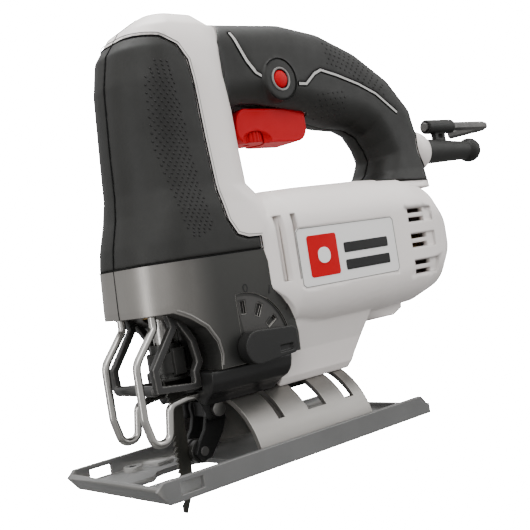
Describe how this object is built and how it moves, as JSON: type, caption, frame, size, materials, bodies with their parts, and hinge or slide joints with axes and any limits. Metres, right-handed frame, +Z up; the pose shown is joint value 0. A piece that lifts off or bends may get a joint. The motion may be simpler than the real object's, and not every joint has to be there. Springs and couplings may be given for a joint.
{
  "type": "corded jigsaw power tool",
  "caption": "Corded jigsaw with a D-handle, red trigger, wire finger guards, orbital roller guide and a tilting sheet-steel shoe on a slotted saddle arch.",
  "frame": {"origin": "underside of the shoe at mid-length on the tool's middle plane", "axes": "-X towards the blade and nose, +X towards the cord gland, -Y the tool's left side, +Z up"},
  "size_m": [0.3185, 0.076, 0.2282],
  "materials": {
    "warm_grey_plastic": "satin moulded, warm light grey",
    "black_rubber": "soft matte overmould",
    "light_trim": "satin light grey inlay",
    "badge": "plain satin plate with no lettering",
    "dark_die_cast": "dark metallic paint on die-cast metal",
    "black_plastic": "fine-textured black",
    "zinc_steel": "zinc plated",
    "aluminium_plate": "machined",
    "steel_laminations": "stacked sheets",
    "copper_wire": "lacquered copper",
    "bright_steel": "ground or drawn",
    "bronze": "sintered",
    "carbon": "graphite",
    "dark_clamp_steel": "blackened",
    "blade_steel": "dark oxidised",
    "red_plastic": "satin red",
    "shoe_steel": "flat grey coated sheet",
    "satin_steel": "satin nickel sheet"
  },
  "bodies": {
    "root": {"housing_left": "warm_grey_plastic", "housing_right": "warm_grey_plastic", "nose_overmold_left": "black_rubber", "nose_overmold_right": "black_rubber", "grip_overmold_left": "black_rubber", "grip_overmold_right": "black_rubber", "trim_stripes": "light_trim", "badge_plates": "badge", "gear_case_left": "dark_die_cast", "gear_case_right": "dark_die_cast", "shoe_support": "black_plastic", "housing_screws": "zinc_steel", "gear_case_screws": "zinc_steel", "bearing_plate": "aluminium_plate", "motor_stator": "steel_laminations", "stator_windings": "copper_wire", "front_bearing": "bright_steel", "rear_bearing": "bright_steel", "brush_holders": "bronze", "carbon_brushes": "carbon", "gear_axle": "bright_steel", "upper_bushing": "bronze", "lower_bushing": "bronze", "fork_pin": "zinc_steel", "wire_guard": "bright_steel", "blade_guard": "black_plastic", "trigger_pin": "zinc_steel", "trigger_spring": "zinc_steel", "lock_spring": "zinc_steel", "switch_body": "black_plastic", "strain_relief": "black_rubber", "clamp_plate": "dark_clamp_steel", "clamp_screw": "zinc_steel"},
    "armature": {"armature_shaft": "bright_steel", "armature_core": "steel_laminations", "armature_windings": "copper_wire", "commutator": "copper_wire", "cooling_fan": "black_plastic", "motor_pinion": "bright_steel"},
    "gear": {"drive_gear": "bright_steel", "crank_pin": "bright_steel", "balance_weight": "bright_steel"},
    "plunger_unit": {"plunger": "bright_steel", "scotch_yoke": "bright_steel", "blade_clamp": "dark_clamp_steel", "saw_blade": "blade_steel"},
    "clamp_ring": {"clamp_lever": "dark_clamp_steel"},
    "fork": {"roller_fork": "black_plastic", "roller_pin": "zinc_steel"},
    "roller": {"guide_roller": "dark_clamp_steel"},
    "selector": {"selector_lever": "black_plastic", "selector_shaft": "bright_steel"},
    "trigger_unit": {"trigger": "red_plastic"},
    "dial": {"speed_dial": "red_plastic"},
    "lock": {"lock_button": "red_plastic"},
    "key": {"hex_key": "zinc_steel"},
    "shoe": {"shoe_plate": "shoe_steel", "saddle_arch": "satin_steel", "shoe_rivets": "zinc_steel"}
  },
  "joints": [
    {"name": "drive_gear_spin", "type": "hinge", "parent": "root", "child": "gear", "pos_m": [-0.022, 0, 0.11463], "axis": [1, 0, 0], "continuous": true},
    {"name": "armature_spin", "type": "hinge", "parent": "root", "child": "armature", "pos_m": [0.05, 0, 0.091], "axis": [1, 0, 0], "continuous": true},
    {"name": "plunger_slide", "type": "slide", "parent": "root", "child": "plunger_unit", "axis": [0, 0, -1], "range_m": [0, 0.02]},
    {"name": "clamp_release", "type": "hinge", "parent": "plunger_unit", "child": "clamp_ring", "pos_m": [-0.0485, 0, 0.053], "axis": [0, 0, 1], "range_deg": [0, 28], "stiffness_Nm_per_rad": 0.05, "springref_deg": -11.46},
    {"name": "fork_swing", "type": "hinge", "parent": "root", "child": "fork", "pos_m": [-0.0325, 0, 0.0275], "axis": [0, -1, 0], "range_deg": [0, 4]},
    {"name": "roller_spin", "type": "hinge", "parent": "fork", "child": "roller", "pos_m": [-0.03995, 0, 0.0094], "axis": [0, 1, 0], "continuous": true},
    {"name": "orbit_selector", "type": "hinge", "parent": "root", "child": "selector", "pos_m": [-0.0215, 0, 0.0533], "axis": [0, -1, 0], "range_deg": [0, 87]},
    {"name": "trigger_squeeze", "type": "hinge", "parent": "root", "child": "trigger_unit", "pos_m": [0.05, 0, 0.1685], "axis": [0, 1, 0], "range_deg": [0, 6], "stiffness_Nm_per_rad": 1.2, "springref_deg": -20.05, "deforming": ["trigger_spring"]},
    {"name": "speed_setting", "type": "hinge", "parent": "trigger_unit", "child": "dial", "pos_m": [0.019, 0, 0.153], "axis": [0, 0, 1], "range_deg": [-135, 135]},
    {"name": "lock_press", "type": "slide", "parent": "root", "child": "lock", "axis": [0, 1, 0], "range_m": [0, 0.0025], "stiffness_N_per_m": 400, "springref_m": -0.003, "deforming": ["lock_spring"]},
    {"name": "key_withdraw", "type": "slide", "parent": "root", "child": "key", "axis": [1, 0, 0], "range_m": [0, 0.03]},
    {"name": "shoe_bevel", "type": "hinge", "parent": "root", "child": "shoe", "pos_m": [0, 0, 0], "axis": [1, 0, 0], "range_deg": [-45, 45]}
  ],
  "couplings": [
    {"joint": "drive_gear_spin", "follows": "armature_spin", "ratio": -0.16667}
  ]
}
